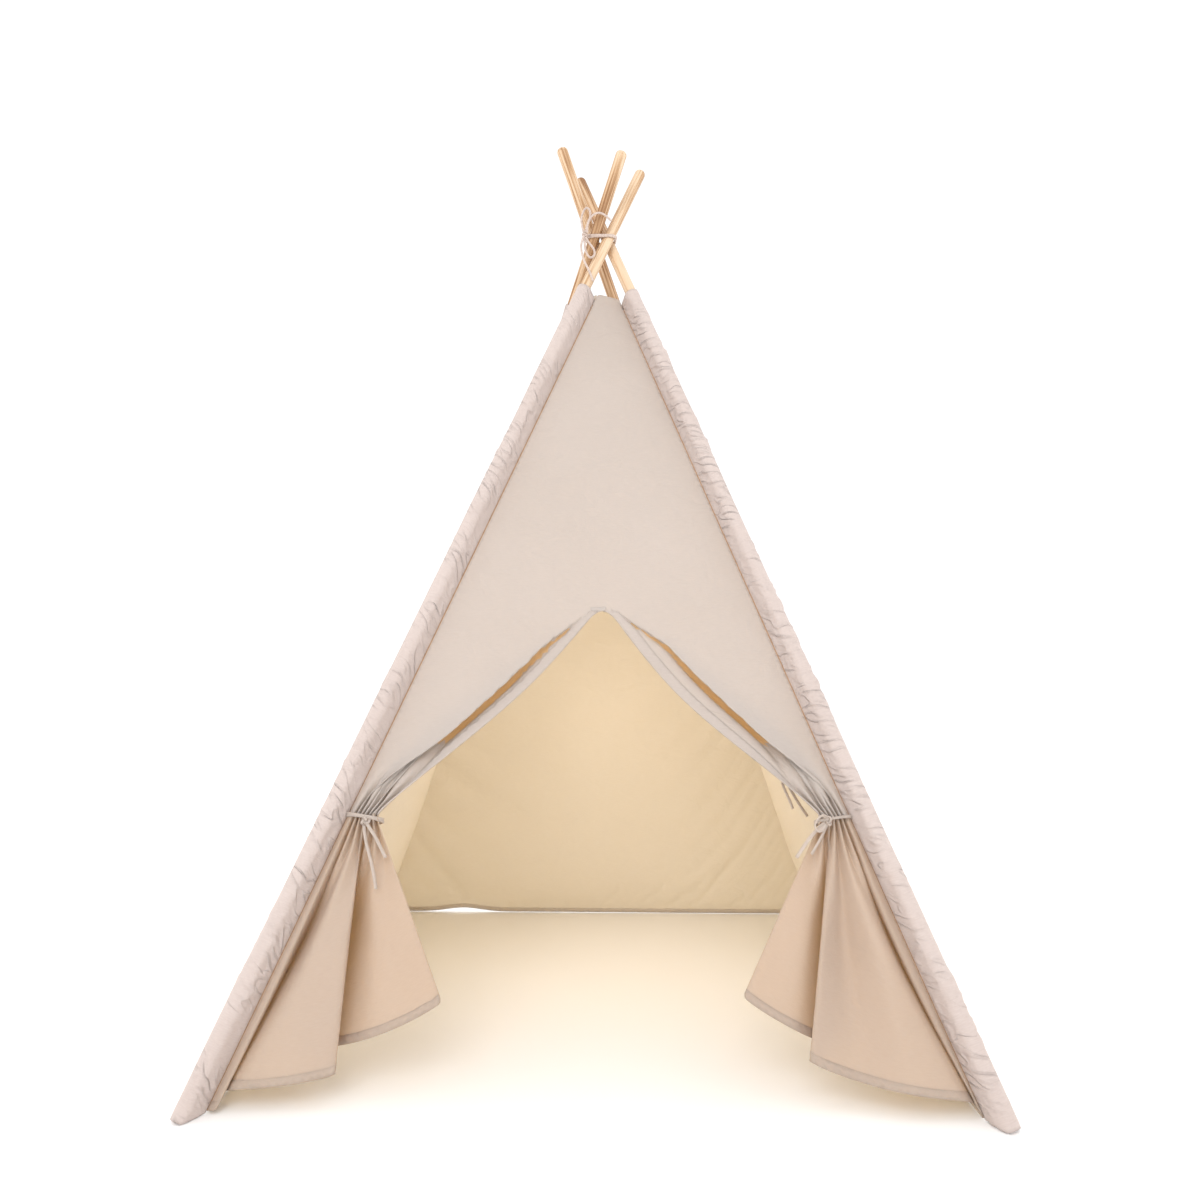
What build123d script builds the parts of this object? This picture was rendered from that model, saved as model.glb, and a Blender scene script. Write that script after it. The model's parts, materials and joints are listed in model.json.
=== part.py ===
"""Square canvas teepee tent on four sectional wooden poles. Millimetres, +Z up, door towards -Y.

The origin is on the floor at the centre of the base. Each pole leans in to a lashing and passes the
tent's middle on its right-hand side, so the four poles stand clear of each other in a pinwheel.
"""
from build123d import *
import os
from math import cos, pi, radians, sin, sqrt, tan

os.makedirs("parts", exist_ok=True)

# ---- frame ------------------------------------------------------------------------------------
FOOT_SPACING = 1090.0  # between neighbouring pole axes on the floor
CROSSING_HEIGHT = 1426.0  # where the poles pass each other and are lashed
POLE_SIDESTEP = 20.0  # distance of each pole from the tent's middle at the crossing
POLE_DIAMETER = 21.0
SECTION_LENGTH = 600.0  # each pole is three sections, 1.8 m in all
SECTION_COUNT = 3
FLOOR_CLEARANCE = 1.6  # cloth under the pole's end
TIP_ROUNDING = 9.0
TIP_TRIMS = {"back_left": 22.0}  # the pole whose top is cut shorter, level with its neighbour's
FERRULE_LENGTH = 90.0
FERRULE_BORE = 18.6
SPIGOT_DIAMETER = 18.5
SPIGOT_END_GAP = 0.5

# ---- cloth ------------------------------------------------------------------------------------
CLOTH = 1.5  # double canvas with its seams
SLEEVE_BORE = 22.0
SLEEVE_OUTER = 24.4
SEAM_REACH = 31.0  # from the pole's axis to the seam that joins two walls
SEAM_WIDTH = 2.4
SLEEVE_TOP_HEIGHT = 1314.0
WALL_TOP_HEIGHT = 1306.0
WALL_GAP = 2.5  # from the seam's tip to a wall's edge
HEM_HEIGHT = 16.0
HEM_THICKNESS = 3.2
HEM_BOTTOM = 1.0

# ---- door -------------------------------------------------------------------------------------
DOOR_TOP_HEIGHT = 687.0  # the top of the slit
DOOR_PATCH_WIDTH = 26.0
DOOR_PATCH_HEIGHT = 22.0
DOOR_PATCH_RAISE = 2.0  # above the top of the slit
DOOR_PATCH_CLEARANCE = 1.0  # between the patch and the wall that it is sewn on
KNOT_X = 342.0  # where each flap is gathered and tied
KNOT_HEIGHT = 376.0
FLAP_TOP_HEIGHT = 350.0  # the skirt of a flap hangs from here down to its hem
FRONT_WALL_RAISE = 6.0  # the front wall ends this far above the skirts
FLAP_TOP_WIDTH = 34.0
FLAP_BOTTOM_WIDTH = 352.0  # at the floor, if the hem reached it
FLAP_HEM = [  # outline seen from the front: up the seam, then along the slanted hem
    (545.0, 400.0),
    (545.0, 2.0),
    (505.0, 2.0),
    (345.0, 56.0),
    (210.0, 128.0),  # the free corner hangs clear of the floor
    (210.0, 400.0),
]
FLAP_BOTTOM = 2.0
FLAP_TOP_FOLD = 5.0
FLAP_BOTTOM_FOLD = 17.0
FLAP_FOLDS = 6
FLAP_EDGE_GAP = 9.0  # from the seam to the flap's sewn edge

# ---- cords ------------------------------------------------------------------------------------
LASHING_CORD = 4.2
LASHING_TURN_COUNT = 2
LASHING_TURN_SPACING = 4.6
LASHING_HALF_WIDTH = 32.5
LASHING_CORNER = 17.0
TAPE = 5.6  # the door ties
TIE_SLACK = 2.4  # between a door tie and the cloth it gathers
TIE_DROP = 8.0  # of a tie's loop below the knot's height
TIE_PLACES = (4.0, 22.0)  # from the seam: where the tape leaves it, and where it bends round the cloth
TIE_RISES = (4.0, 1.0, -2.0, -3.0)  # of the loop's points, from the seam to its far side
TIE_BULGES = (3.0, 1.0)  # of the loop's long sides, outwards
TIE_INSETS = (3.0, 9.0)  # of the loop's far side from the knot
BOW_KNOT_SIZE = 11.0
TIE_KNOT_SIZE = 12.0
KNOT_DEPTH = 0.8  # the rest are shares of a knot's size
KNOT_CORNER = 0.3
KNOT_EDGE = 0.2
BEND_SHARE = 0.45  # of the shorter run beside a bend, used up by its arc

HALF = FOOT_SPACING / 2
CORNERS = {
    "front_left": (-1, -1),
    "front_right": (1, -1),
    "back_right": (1, 1),
    "back_left": (-1, 1),
}
WALLS = {
    "front_wall": ("front_left", "front_right"),
    "right_wall": ("front_right", "back_right"),
    "back_wall": ("back_right", "back_left"),
    "left_wall": ("back_left", "front_left"),
}


def foot(corner):
    x, y = CORNERS[corner]
    return Vector(x * HALF, y * HALF, 0)


def crossing(corner):
    """The pole's point at the lashing: its outward direction turned a quarter turn, times the sidestep."""
    x, y = CORNERS[corner]
    reach = POLE_SIDESTEP / sqrt(2)
    return Vector(-y * reach, x * reach, CROSSING_HEIGHT)


def pole_direction(corner):
    return (crossing(corner) - foot(corner)).normalized()


def inward(corner):
    """Across the pole, in its own upright plane, towards the middle of the tent."""
    lean = crossing(corner) - foot(corner)
    flat = Vector(lean.X, lean.Y, 0).normalized()
    along = pole_direction(corner)
    return (flat - along * flat.dot(along)).normalized()


def pole_plane(corner, along):
    """A plane square to the pole, with its x axis towards the middle of the tent."""
    return Plane(
        origin=foot(corner) + pole_direction(corner) * along,
        x_dir=inward(corner),
        z_dir=pole_direction(corner),
    )


def seam_point(corner, height):
    """A point on the seam beside a pole, at a height above the floor."""
    start = foot(corner) + inward(corner) * SEAM_REACH
    along = pole_direction(corner)
    return start + along * ((height - start.Z) / along.Z)


def finish(part, label):
    part.label = label
    export_step(part, f"parts/{label}.step")


# ---- poles ------------------------------------------------------------------------------------
LEAN = pole_direction("front_left").get_angle(Vector(0, 0, 1))
POLE_START = (FLOOR_CLEARANCE + POLE_DIAMETER / 2 * sin(radians(LEAN))) / cos(radians(LEAN))
SPIGOT_LENGTH = FERRULE_LENGTH / 2 - SPIGOT_END_GAP / 2
SECTION_NAMES = ("bottom", "middle", "top")


def pole_section(corner, index):
    """A dowel section, turned down at each joint to fit half of a ferrule."""
    start = POLE_START + index * SECTION_LENGTH
    last = SECTION_COUNT - 1
    low = start if index == 0 else start + FERRULE_LENGTH / 2 + SPIGOT_END_GAP / 2
    trim = TIP_TRIMS.get(corner, 0.0) if index == last else FERRULE_LENGTH / 2 + SPIGOT_END_GAP / 2
    high = start + SECTION_LENGTH - trim
    with BuildPart() as section:
        with BuildSketch(pole_plane(corner, low)):
            Circle(POLE_DIAMETER / 2)
        extrude(amount=high - low)
        end = section.faces().filter_by(GeomType.PLANE).sort_by(Axis.Z)[-1]
        if index == last:
            fillet(end.edges(), TIP_ROUNDING)
        else:
            with BuildSketch(pole_plane(corner, high)):
                Circle(SPIGOT_DIAMETER / 2)
            extrude(amount=SPIGOT_LENGTH)
        if index > 0:
            with BuildSketch(pole_plane(corner, low - SPIGOT_LENGTH)):
                Circle(SPIGOT_DIAMETER / 2)
            extrude(amount=SPIGOT_LENGTH)
    finish(section.part, f"{corner}_pole_{SECTION_NAMES[index]}")


def pole_ferrule(corner, index):
    """A metal tube, flush with the wood, that joins two sections."""
    middle = POLE_START + (index + 1) * SECTION_LENGTH
    with BuildPart() as ferrule:
        with BuildSketch(pole_plane(corner, middle - FERRULE_LENGTH / 2)):
            Circle(POLE_DIAMETER / 2)
            Circle(FERRULE_BORE / 2, mode=Mode.SUBTRACT)
        extrude(amount=FERRULE_LENGTH)
    place = "lower" if index == 0 else "upper"
    finish(ferrule.part, f"{corner}_pole_{place}_ferrule")


# ---- sleeves ----------------------------------------------------------------------------------
SLEEVE_LENGTH = SLEEVE_TOP_HEIGHT / cos(radians(LEAN))
POLE_END_PLAY = 0.3


def pole_sleeve(corner):
    """A cloth tube round the pole with a fin in to the seam, closed and flat where it stands."""
    below = SLEEVE_OUTER
    with BuildPart() as sleeve:
        with BuildSketch(pole_plane(corner, -below)) as outline:
            Circle(SLEEVE_OUTER / 2)
            with Locations((SEAM_REACH - SEAM_WIDTH / 2, 0)):
                Rectangle(SEAM_WIDTH, SEAM_WIDTH)
            make_hull(outline.edges())
        extrude(amount=below + SLEEVE_LENGTH)
        with BuildSketch(pole_plane(corner, POLE_START - POLE_END_PLAY)):
            Circle(SLEEVE_BORE / 2)
        extrude(amount=SLEEVE_LENGTH, mode=Mode.SUBTRACT)
        split(bisect_by=Plane.XY, keep=Keep.TOP)
    finish(sleeve.part, f"{corner}_sleeve")


# ---- walls ------------------------------------------------------------------------------------
def wall_outline(wall, height, thickness):
    """The wall's cross-section at a height: a thin strip from one seam to the next."""
    first, second = (seam_point(corner, height) for corner in WALLS[wall])
    along = (second - first).normalized()
    across = Vector(-along.Y, along.X, 0) * (thickness / 2)
    start = first + along * WALL_GAP
    end = second - along * WALL_GAP
    return [(p.X, p.Y) for p in (start - across, end - across, end + across, start + across)]


def wall_sheet(label, wall, low, high, thickness, cut_out=None):
    """A sheet between two heights; its long edges follow the seams, so it twists a little."""
    with BuildPart() as sheet:
        for height in (low, high):
            with BuildSketch(Plane.XY.offset(height)):
                with BuildLine():
                    Polyline(*wall_outline(wall, height, thickness), close=True)
                make_face()
        loft(ruled=True)
        if cut_out:
            with BuildSketch(Plane.XZ):
                with BuildLine():
                    Polyline(*cut_out, close=True)
                make_face()
            extrude(amount=FOOT_SPACING, mode=Mode.SUBTRACT)
    finish(sheet.part, label)


def plain_wall(wall):
    """A wall and the turned-up hem on which it hangs to the floor."""
    hem_top = HEM_BOTTOM + HEM_HEIGHT
    wall_sheet(wall, wall, hem_top, WALL_TOP_HEIGHT, CLOTH)
    wall_sheet(f"{wall}_hem", wall, HEM_BOTTOM, hem_top, HEM_THICKNESS)


def front_wall():
    """The front above the door, its two lower edges drawn back to the ties."""
    slit = [
        (0, DOOR_TOP_HEIGHT),
        (-KNOT_X, KNOT_HEIGHT),
        (-KNOT_X, 0),
        (KNOT_X, 0),
        (KNOT_X, KNOT_HEIGHT),
    ]
    wall_sheet("front_wall", "front_wall", FLAP_TOP_HEIGHT + FRONT_WALL_RAISE, WALL_TOP_HEIGHT, CLOTH, slit)


def front_lean():
    """How far the front wall goes back for each millimetre up, midway between its seams."""
    low, high = (
        (seam_point("front_left", h).Y + seam_point("front_right", h).Y) / 2 for h in (0, CROSSING_HEIGHT)
    )
    return low, (high - low) / CROSSING_HEIGHT


def door_patch():
    """A doubled patch that stops the slit from tearing, on the outside of the front wall."""
    low, slope = front_lean()
    clear = CLOTH / 2 + DOOR_PATCH_CLEARANCE
    bottom = DOOR_TOP_HEIGHT + DOOR_PATCH_RAISE
    with BuildPart() as patch:
        for level in (bottom, bottom + DOOR_PATCH_HEIGHT):
            with BuildSketch(Plane.XY.offset(level)):
                with Locations((0, low + slope * level - clear - CLOTH / 2)):
                    Rectangle(DOOR_PATCH_WIDTH, CLOTH)
        loft(ruled=True)
    finish(patch.part, "door_top_patch")


# ---- door flaps -------------------------------------------------------------------------------
def flap_outline(side, height, width, fold):
    """A pleated strip: the zigzag of its front face, and the same zigzag back along its rear face."""
    seam = seam_point("front_left" if side < 0 else "front_right", height)
    step = width / FLAP_FOLDS
    front = []
    for i in range(FLAP_FOLDS + 1):
        swing = 0 if i == 0 else fold * (1 if i % 2 else -1) / 2
        front.append((seam.X - side * (FLAP_EDGE_GAP + i * step), seam.Y + swing))
    slant = sqrt(1 + (fold / step) ** 2)
    back = [(x, y + CLOTH * slant) for x, y in reversed(front)]
    return front + back


def door_flap(name, side):
    """The gathered lower half of a door flap, fanning out in pleats from the tie to its slanted hem."""
    with BuildPart() as flap:
        for height, width, fold in (
            (FLAP_BOTTOM, FLAP_BOTTOM_WIDTH, FLAP_BOTTOM_FOLD),
            (FLAP_TOP_HEIGHT, FLAP_TOP_WIDTH, FLAP_TOP_FOLD),
        ):
            with BuildSketch(Plane.XY.offset(height)):
                with BuildLine():
                    Polyline(*flap_outline(side, height, width, fold), close=True)
                make_face()
        loft(ruled=True)
        with BuildSketch(Plane.XZ):
            with BuildLine():
                Polyline(*[(side * x, z) for x, z in FLAP_HEM], close=True)
            make_face()
        extrude(amount=FOOT_SPACING, mode=Mode.INTERSECT)
    finish(flap.part, name)


# ---- cords ------------------------------------------------------------------------------------
def corner_radii(points):
    """The largest arcs that the runs allow: a share of the shorter run over the tangent of half the turn."""
    radii = []
    for before, here, after in zip(points, points[1:], points[2:]):
        a, b = here - before, after - here
        radii.append(BEND_SHARE * min(a.length, b.length) / tan(radians(a.get_angle(b) / 2)))
    return radii


def cord_tube(label, route, diameter):
    """A round cord along straight runs joined by tangent arcs."""
    points = [Vector(*p) for p in route]
    radii = corner_radii(points)
    with BuildPart() as tube:
        with BuildLine():
            path = FilletPolyline(*points, radius=radii)
        with BuildSketch(Plane(origin=path @ 0, z_dir=path % 0)):
            Circle(diameter / 2)
        sweep()
    length = path.length
    expected = pi * diameter**2 / 4 * length
    print(
        f"{label}: {length:.0f} mm long, radii {[round(r, 1) for r in radii]},"
        f" volume {tube.part.volume / expected:.4f} of section times length"
    )
    finish(tube.part, label)


def lashing_turns():
    """Turns of cord round the bundle of poles, one above the other."""
    side = LASHING_HALF_WIDTH - LASHING_CORNER
    with BuildPart() as turns:
        for index in range(LASHING_TURN_COUNT):
            level = CROSSING_HEIGHT + (index - (LASHING_TURN_COUNT - 1) / 2) * LASHING_TURN_SPACING
            with BuildLine(Plane.XY.offset(level)) as loop:
                straight = [
                    Line((-side, -LASHING_HALF_WIDTH), (side, -LASHING_HALF_WIDTH)),
                    Line((LASHING_HALF_WIDTH, -side), (LASHING_HALF_WIDTH, side)),
                    Line((side, LASHING_HALF_WIDTH), (-side, LASHING_HALF_WIDTH)),
                    Line((-LASHING_HALF_WIDTH, side), (-LASHING_HALF_WIDTH, -side)),
                ]
                for before, after in zip(straight, straight[1:] + straight[:1]):
                    TangentArc(before @ 1, after @ 0, tangent=before % 1)
            with BuildSketch(Plane(origin=(0, -LASHING_HALF_WIDTH, level), z_dir=(1, 0, 0))):
                Circle(LASHING_CORD / 2)
            sweep(path=loop.wires()[0])
    finish(turns.part, "lashing_turns")


def knot(label, centre, size):
    """A pulled-tight knot: a small rounded lump on the cord."""
    with BuildPart() as lump:
        with BuildSketch(Plane.XY.offset(centre[2] - size / 2)):
            with Locations((centre[0], centre[1])):
                RectangleRounded(size, size * KNOT_DEPTH, size * KNOT_CORNER)
        extrude(amount=size)
        fillet(lump.edges().filter_by(GeomType.LINE, reverse=True), size * KNOT_EDGE)
    finish(lump.part, label)


# The bow at the front left of the lashing, and its two ends.
BOW_KNOT = (-32, -39, 1421)
BOW_CORDS = {
    "lashing_bow_upper_loop": [
        (-34, -40, 1426),
        (-39, -41, 1442),
        (-38, -42, 1460),
        (-30, -43, 1475),
        (-21, -44, 1468),
        (-22, -43, 1450),
        (-29, -41, 1436),
        (-31, -40, 1426),
    ],
    "lashing_bow_lower_loop": [
        (-30, -40, 1416),
        (-24, -43, 1404),
        (-14, -47, 1391),
        (-12, -50, 1377),
        (-21, -51, 1370),
        (-29, -48, 1382),
        (-32, -43, 1400),
        (-33, -40, 1416),
    ],
    "lashing_side_end": [
        (-27, -43, 1424),
        (-28, -49, 1437),
        (-20, -51, 1453),
        (-7, -50, 1461),
        (7, -47, 1458),
        (18, -45, 1447),
    ],
    "lashing_hanging_end": [
        (-34, -42, 1417),
        (-39, -49, 1402),
        (-38, -55, 1382),
        (-32, -60, 1360),
        (-22, -64, 1341),
        (-15, -67, 1320),
    ],
}


def tie_loop(name, side):
    """The tape that comes out of the seam, round the gathered flap and back."""
    height = KNOT_HEIGHT - TIE_DROP
    seam = seam_point("front_left" if side < 0 else "front_right", height)
    gap = CLOTH / 2 + TIE_SLACK + TAPE / 2
    front, back = seam.Y - gap, seam.Y + gap
    leave, bend = (seam.X - side * place for place in TIE_PLACES)
    near, far = (side * (KNOT_X - inset) for inset in TIE_INSETS)
    bulge, round_off = TIE_BULGES
    high, level, low, lowest = (height + rise for rise in TIE_RISES)
    route = [
        (leave, front, high),
        (bend, front - bulge, level),
        (near, front - round_off, low),
        (far, (front + back) / 2, lowest),
        (near, back + round_off, low),
        (bend, back + bulge, level),
        (leave, back, high),
    ]
    cord_tube(name, route, TAPE)


TIE_KNOTS = {"left_tie_knot": (-344, -394, 368), "right_tie_knot": (344, -394, 372)}
TIE_ENDS = {
    "left_tie_short_end": [
        (-340, -399, 364),
        (-330, -406, 354),
        (-319, -411, 338),
        (-308, -414, 318),
    ],
    "left_tie_long_end": [
        (-344, -400, 362),
        (-340, -409, 344),
        (-331, -417, 322),
        (-323, -423, 298),
        (-318, -428, 276),
    ],
    "right_tie_short_end": [
        (341, -400, 367),
        (334, -407, 356),
        (325, -411, 342),
        (315, -414, 327),
    ],
    "right_tie_long_end": [
        (338, -399, 370),
        (325, -406, 362),
        (309, -411, 345),
        (293, -414, 322),
    ],
    "right_tie_bow": [
        (340, -402, 378),
        (334, -411, 384),
        (324, -418, 380),
        (318, -421, 370),
        (322, -420, 361),
        (331, -414, 362),
        (338, -405, 369),
    ],
    "right_closing_tie_short_end": [
        (286, -338, 421),
        (291, -337, 408),
        (298, -336, 394),
        (303, -335, 381),
    ],
    "right_closing_tie_long_end": [
        (295, -336, 419),
        (303, -334, 404),
        (314, -333, 386),
        (326, -332, 369),
    ],
}

for corner in CORNERS:
    for index in range(SECTION_COUNT):
        pole_section(corner, index)
    for index in range(SECTION_COUNT - 1):
        pole_ferrule(corner, index)
    pole_sleeve(corner)
for wall in ("left_wall", "right_wall", "back_wall"):
    plain_wall(wall)
front_wall()
door_patch()
door_flap("left_door_flap", -1)
door_flap("right_door_flap", 1)
lashing_turns()
knot("lashing_knot", BOW_KNOT, BOW_KNOT_SIZE)
for name, route in BOW_CORDS.items():
    cord_tube(name, route, LASHING_CORD)
tie_loop("left_tie_loop", -1)
tie_loop("right_tie_loop", 1)
for name, centre in TIE_KNOTS.items():
    knot(name, centre, TIE_KNOT_SIZE)
for name, route in TIE_ENDS.items():
    cord_tube(name, route, TAPE)
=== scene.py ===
"""A canvas teepee tent: cloth, cords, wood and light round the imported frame. Metres, +Z up."""
import bpy
import json
import math

import numpy as np
from mathutils import Matrix, Vector, noise
from mathutils.bvhtree import BVHTree


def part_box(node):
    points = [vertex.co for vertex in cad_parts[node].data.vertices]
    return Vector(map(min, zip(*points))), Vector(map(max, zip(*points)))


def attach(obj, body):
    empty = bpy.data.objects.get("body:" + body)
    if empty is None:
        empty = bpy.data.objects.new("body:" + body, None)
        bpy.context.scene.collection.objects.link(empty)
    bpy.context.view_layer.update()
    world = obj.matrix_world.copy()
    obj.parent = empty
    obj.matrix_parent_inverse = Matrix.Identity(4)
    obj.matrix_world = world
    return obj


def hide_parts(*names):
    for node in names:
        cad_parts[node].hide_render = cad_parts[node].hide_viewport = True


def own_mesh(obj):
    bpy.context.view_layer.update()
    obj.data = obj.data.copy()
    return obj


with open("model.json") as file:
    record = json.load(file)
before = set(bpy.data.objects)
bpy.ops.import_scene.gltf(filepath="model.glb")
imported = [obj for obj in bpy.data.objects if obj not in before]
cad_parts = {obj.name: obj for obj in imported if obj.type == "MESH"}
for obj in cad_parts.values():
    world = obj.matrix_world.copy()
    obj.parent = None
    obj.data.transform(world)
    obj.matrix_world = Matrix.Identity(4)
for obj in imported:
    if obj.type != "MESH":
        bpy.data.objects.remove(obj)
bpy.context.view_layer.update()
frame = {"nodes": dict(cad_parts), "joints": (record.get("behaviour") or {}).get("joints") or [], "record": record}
NODES = frame["nodes"]
scene = bpy.context.scene
scene.view_settings.view_transform = "Standard"

MM = 0.001

# ---- camera ----
CAMERA_AT = (0.0209, -1.8487, 0.6120)
CAMERA_YAW = math.radians(0.65)
CAMERA_PITCH = math.radians(3.42)
CAMERA_ROLL = math.radians(0.26)
CAMERA_LENS = 29.02
CAMERA_SENSOR = 36.0

camera = bpy.data.objects.new("camera", bpy.data.cameras.new("camera"))
scene.collection.objects.link(camera)
camera.data.lens, camera.data.sensor_width = CAMERA_LENS, CAMERA_SENSOR
camera.matrix_world = (
    Matrix.Translation(CAMERA_AT)
    @ Matrix.Rotation(CAMERA_YAW, 4, "Z")
    @ Matrix.Rotation(math.pi / 2 + CAMERA_PITCH, 4, "X")
    @ Matrix.Rotation(CAMERA_ROLL, 4, "Z")
)
scene.camera = camera


# ---- materials ----
def node(tree, kind, inputs=None, **settings):
    """A shader node with its settings and inputs; an input may be another node's socket."""
    n = tree.nodes.new(kind)
    for key, value in settings.items():
        setattr(n, key, value)
    for key, value in (inputs or {}).items():
        if isinstance(value, bpy.types.NodeSocket):
            tree.links.new(value, n.inputs[key])
        else:
            n.inputs[key].default_value = value
    return n


def ramp(tree, factor, stops):
    """A colour ramp from [(position, (r, g, b)), ...]."""
    n = node(tree, "ShaderNodeValToRGB", {"Fac": factor})
    while len(n.color_ramp.elements) < len(stops):
        n.color_ramp.elements.new(0.5)
    for element, (position, colour) in zip(n.color_ramp.elements, stops):
        element.position = position
        element.color = (*colour, 1)
    return n.outputs["Color"]


def blank(name):
    material = bpy.data.materials.new(name)
    material.use_nodes = True
    material.node_tree.nodes.clear()
    return material, material.node_tree


def noise_at(tree, vector, scale, detail=3.0, stretch=(1, 1, 1), distortion=0.0):
    moved = node(tree, "ShaderNodeMapping", {"Vector": vector, "Scale": stretch}).outputs[0]
    inputs = {"Vector": moved, "Scale": scale, "Detail": detail, "Distortion": distortion}
    return node(tree, "ShaderNodeTexNoise", inputs).outputs["Fac"]


def maths(tree, operation, first, second):
    return node(tree, "ShaderNodeMath", {0: first, 1: second}, operation=operation).outputs[0]


def mean_of(tree, first, second):
    return maths(tree, "MULTIPLY", maths(tree, "ADD", first, second), 0.5)


def bump(tree, height, strength, distance, over=None):
    """The normal of a surface with bumps `distance` metres high, over an earlier bump if any."""
    inputs = {"Height": height, "Strength": strength, "Distance": distance}
    if over is not None:
        inputs["Normal"] = over
    return node(tree, "ShaderNodeBump", inputs).outputs[0]


def principled(tree, colour, roughness, normal=None, **more):
    """A Principled shader; `more` names its other sockets, with _ for each space."""
    inputs = {"Base Color": colour, "Roughness": roughness}
    if normal is not None:
        inputs["Normal"] = normal
    inputs.update({key.replace("_", " "): value for key, value in more.items()})
    return node(tree, "ShaderNodeBsdfPrincipled", inputs).outputs[0]


def surface(tree, shader):
    node(tree, "ShaderNodeOutputMaterial", {"Surface": shader})


def grey(value):
    return (value, value, value)


def pulled_folds(tree, at):
    """Slanting ridges, 0 to 1 high, where cloth is drawn along a pole, in patches."""
    slanted = node(
        tree,
        "ShaderNodeMapping",
        {"Vector": at, "Rotation": (0, 0, -0.5), "Scale": (1 / 20, 1 / 60, 1)},
        vector_type="TEXTURE",
    ).outputs[0]
    folds = noise_at(tree, slanted, 1, detail=0.5, distortion=0.3)
    ridges = ramp(tree, folds, [(0.38, grey(0)), (0.5, grey(1)), (0.57, grey(0))])
    where = ramp(tree, noise_at(tree, at, 13, detail=1), [(0.40, grey(0.15)), (0.55, grey(1))])
    return maths(tree, "MULTIPLY", ridges, where)


def canvas(name, light, shade, glow, through=0.35, weave=1.1 * MM, crumple=0.5, pulled=0.0):
    """Plain-weave cotton canvas with slubs, soft patches and pressed creases.

    `glow` colours the share of the light that comes `through` it. `weave` is its threads' pitch,
    `crumple` the creases' strength and `pulled` the height of the ridges on a sleeve.
    """
    material, tree = blank(name)
    at = node(tree, "ShaderNodeTexCoord").outputs["UV"]
    wave = {"Vector": at, "Scale": math.pi / 10 / weave, "Distortion": 0.6, "Detail Scale": 0.4}
    warp, weft = (
        node(tree, "ShaderNodeTexWave", wave, bands_direction=direction).outputs["Fac"]
        for direction in ("X", "Y")
    )
    slubs = noise_at(tree, at, 90, detail=2, stretch=(1, 7, 1))
    patches = noise_at(tree, at, 3.5, detail=4)
    creases = noise_at(tree, at, 16, detail=5, stretch=(1, 1.3, 1), distortion=1.2)
    colour = ramp(tree, mean_of(tree, patches, slubs), [(0.32, shade), (0.66, light)])
    normal = bump(tree, maths(tree, "ADD", warp, weft), 0.35, 0.25 * MM)
    normal = bump(tree, slubs, 0.3, 0.4 * MM, over=normal)
    normal = bump(tree, creases, crumple, 6 * MM, over=normal)
    if pulled:
        normal = bump(tree, pulled_folds(tree, at), 1.0, pulled, over=normal)
    cloth = principled(
        tree, colour, 0.92, normal, Sheen_Weight=0.12, Sheen_Roughness=0.5, Specular_IOR_Level=0.2
    )
    lit_through = node(tree, "ShaderNodeBsdfTranslucent", {"Color": (*glow, 1), "Normal": normal})
    mixed = node(tree, "ShaderNodeMixShader", {"Fac": through, 1: cloth, 2: lit_through.outputs[0]})
    surface(tree, mixed.outputs[0])
    return material


def cord_cotton(name, light, dark):
    """Soft cotton cord or thread: darker and lighter fibres, fluffed a little."""
    material, tree = blank(name)
    at = node(tree, "ShaderNodeTexCoord").outputs["Object"]
    fluff = noise_at(tree, at, 900, detail=3)
    fibres = mean_of(tree, noise_at(tree, at, 240, detail=2), fluff)
    colour = ramp(tree, fibres, [(0.25, dark), (0.6, light)])
    normal = bump(tree, fibres, 0.4, 0.4 * MM)
    surface(tree, principled(tree, colour, 0.95, normal, Sheen_Weight=0.2, Specular_IOR_Level=0.2))
    return material


def upright(tree, along):
    """Object coordinates turned so that their Z runs along a pole."""
    at = node(tree, "ShaderNodeTexCoord").outputs["Object"]
    turn = Vector(along).rotation_difference(Vector((0, 0, 1))).to_euler()
    return node(tree, "ShaderNodeMapping", {"Vector": at, "Rotation": turn}).outputs[0]


def pine(name, along):
    """Sanded pine dowel: long grain streaks that run with the pole, and a few darker ones."""
    material, tree = blank(name)
    at = upright(tree, along)
    streaks = noise_at(tree, at, 260, detail=4, stretch=(1, 1, 0.03), distortion=0.4)
    pores = noise_at(tree, at, 900, detail=2, stretch=(1, 1, 0.05))
    broad = noise_at(tree, at, 30, detail=2, stretch=(1, 1, 0.12))
    stops = [(0.41, (0.28, 0.13, 0.05)), (0.49, (0.52, 0.32, 0.17)), (0.58, (0.72, 0.54, 0.37))]
    colour = ramp(tree, mean_of(tree, streaks, broad), stops)
    surface(tree, principled(tree, colour, 0.55, bump(tree, pores, 0.3, 0.3 * MM)))
    return material


def drawn_metal(name, along):
    """Drawn aluminium tube: fine lines along the pole."""
    material, tree = blank(name)
    lines = noise_at(tree, upright(tree, along), 1400, detail=2, stretch=(1, 1, 0.02))
    colour = ramp(tree, lines, [(0.3, (0.5, 0.5, 0.51)), (0.7, (0.72, 0.72, 0.73))])
    surface(tree, principled(tree, colour, 0.38, bump(tree, lines, 0.2, 0.1 * MM), Metallic=1.0))
    return material


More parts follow.
